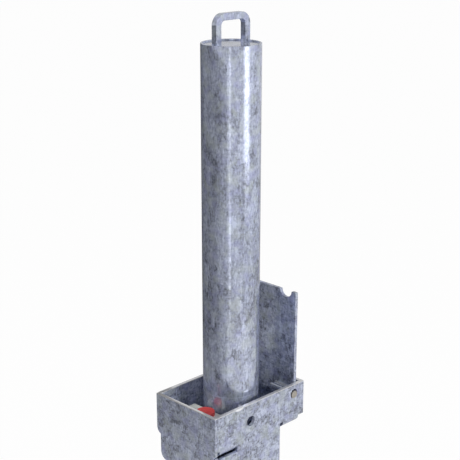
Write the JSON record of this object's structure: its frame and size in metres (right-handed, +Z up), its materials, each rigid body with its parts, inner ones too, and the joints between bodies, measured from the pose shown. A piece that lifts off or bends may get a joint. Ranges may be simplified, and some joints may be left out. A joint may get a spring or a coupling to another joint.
{
  "type": "removable bollard",
  "caption": "Galvanised round post with a lift handle, standing in a lidded ground socket with a key lock under a red cap.",
  "frame": {"origin": "centre of the footprint at the underside of the base plate; the post axis passes through it", "axes": "+Z up along the post, +X from the lock end of the head box to its hinge end, -Y towards the near side in the picture"},
  "size_m": [0.258, 0.176, 1.1493],
  "materials": {
    "galvanised_sheet": "hot-dip galvanised sheet with mottled spangle",
    "galvanised_tube": "hot-dip galvanised tube, satin",
    "galvanised_bar": "hot-dip galvanised square bar",
    "plated_pin": "bare turned steel with a warm tint",
    "passivated_bracket": "pale yellow passivated zinc",
    "lock_steel": "zinc-plated lock parts",
    "red_plastic": "moulded red cap, soft sheen"
  },
  "bodies": {
    "housing": {"near_side_plate": "galvanised_sheet", "far_side_plate": "galvanised_sheet", "front_end_plate": "galvanised_sheet", "rear_end_plate": "galvanised_sheet", "head_floor": "galvanised_sheet", "lid_stop_bar": "galvanised_sheet", "lock_pocket_pan": "galvanised_sheet", "upper_guide_collar": "galvanised_sheet", "lower_guide_ring": "galvanised_sheet", "base_plate": "galvanised_sheet", "socket_tube": "galvanised_tube", "lock_bracket": "passivated_bracket", "lock_body": "lock_steel", "lock_nut": "lock_steel"},
    "post": {"post_tube": "galvanised_tube", "post_foot_plate": "galvanised_tube", "post_top_cap": "galvanised_tube", "lift_handle": "galvanised_bar"},
    "lid": {"lid_plate": "galvanised_sheet", "near_hinge_pin": "plated_pin", "far_hinge_pin": "plated_pin"},
    "lock_core": {"lock_plug": "lock_steel", "lock_cam": "lock_steel", "cam_washer": "lock_steel", "cam_nut": "lock_steel"},
    "cap": {"lock_cap": "red_plastic"}
  },
  "joints": [
    {"name": "post_lift", "type": "slide", "parent": "housing", "child": "post", "axis": [0, 0, 1], "range_m": [0, 0.6]},
    {"name": "lid_hinge", "type": "hinge", "parent": "housing", "child": "lid", "pos_m": [0.099, 0, 0.3777], "axis": [0, -1, 0], "range_deg": [0, 12]},
    {"name": "lock_turn", "type": "hinge", "parent": "housing", "child": "lock_core", "pos_m": [-0.0845, -0.012, 0.37], "axis": [0, 0, 1], "range_deg": [0, 98]},
    {"name": "cap_lift", "type": "slide", "parent": "housing", "child": "cap", "axis": [0, 0, 1], "range_m": [0, 0.23]}
  ]
}
